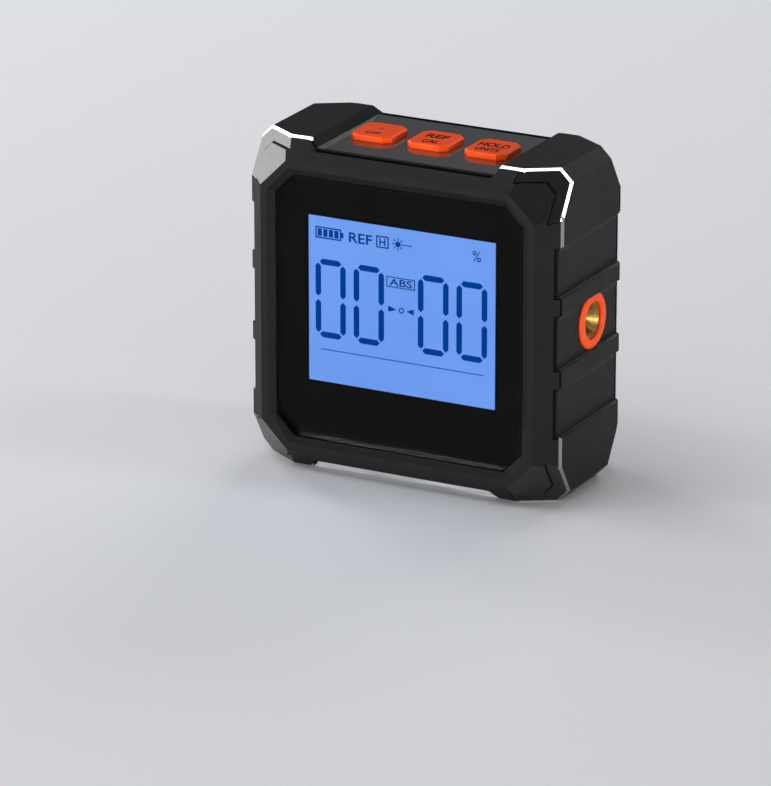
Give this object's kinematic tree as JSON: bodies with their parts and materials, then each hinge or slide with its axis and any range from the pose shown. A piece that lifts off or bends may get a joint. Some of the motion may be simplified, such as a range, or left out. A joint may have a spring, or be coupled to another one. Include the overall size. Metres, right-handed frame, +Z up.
{
  "type": "digital angle gauge",
  "caption": "Square digital angle gauge with bevelled bumper case, front display window, top keys, side laser ring, magnetic base plate and hinged battery door.",
  "frame": {"origin": "centre of the base, at its underside", "axes": "+Z up, display faces -Y, laser points along +X"},
  "size_m": [0.06, 0.03, 0.06],
  "materials": {
    "case_plastic": "satin charcoal moulded plastic",
    "seal_rubber": "black seal",
    "window_glass": "clear polished window",
    "black_film": "black film",
    "display": "lit blue display",
    "display_ink": "dark blue segments",
    "light_guide": "white light guide",
    "connector_rubber": "grey connector strip",
    "circuit_board": "green board",
    "steel": "plated steel",
    "dark_steel": "dark steel",
    "chip_plastic": "black moulded chip",
    "orange_plastic": "satin orange plastic",
    "plunger_plastic": "natural plastic",
    "brass": "turned brass",
    "lens_glass": "amber lens",
    "cell_wrap": "plain gold cell wrap",
    "base_metal": "ground aluminium",
    "magnet_metal": "nickel plated"
  },
  "bodies": {
    "housing": {"mid_body": "case_plastic", "front_bezel": "case_plastic", "rear_cover": "case_plastic", "front_gasket": "seal_rubber", "rear_gasket": "seal_rubber", "window_lens": "window_glass", "window_mask": "black_film", "lcd_glass": "display", "lcd_digits": "display_ink", "backlight": "light_guide", "lcd_connector": "connector_rubber", "main_board": "circuit_board", "board_screws": "steel", "tilt_sensor": "chip_plastic", "processor_chip": "chip_plastic", "buzzer": "chip_plastic", "key_switches": "chip_plastic", "key_board": "circuit_board", "key_board_screws": "steel", "laser_ring": "orange_plastic", "laser_barrel": "brass", "laser_lens": "lens_glass", "laser_diode": "steel", "battery_upper": "cell_wrap", "battery_lower": "cell_wrap", "contact_plates": "steel", "contact_springs": "steel", "case_screws": "dark_steel", "base_plate": "base_metal", "magnets": "magnet_metal", "base_screws": "steel"},
    "power_key": {"button_power": "orange_plastic", "plunger_power": "plunger_plastic"},
    "reference_key": {"button_reference": "orange_plastic", "plunger_reference": "plunger_plastic"},
    "hold_key": {"button_hold": "orange_plastic", "plunger_hold": "plunger_plastic"},
    "door": {"battery_door": "case_plastic"}
  },
  "joints": [
    {"name": "power_press", "type": "slide", "parent": "housing", "child": "power_key", "axis": [0, 0, -1], "range_m": [0, 0.0004], "stiffness_N_per_m": 400},
    {"name": "reference_press", "type": "slide", "parent": "housing", "child": "reference_key", "axis": [0, 0, -1], "range_m": [0, 0.0004], "stiffness_N_per_m": 400},
    {"name": "hold_press", "type": "slide", "parent": "housing", "child": "hold_key", "axis": [0, 0, -1], "range_m": [0, 0.0004], "stiffness_N_per_m": 400},
    {"name": "door_hinge", "type": "hinge", "parent": "housing", "child": "door", "pos_m": [0, 0.015, 0.0136], "axis": [-1, 0, 0], "range_deg": [0, 75]}
  ]
}
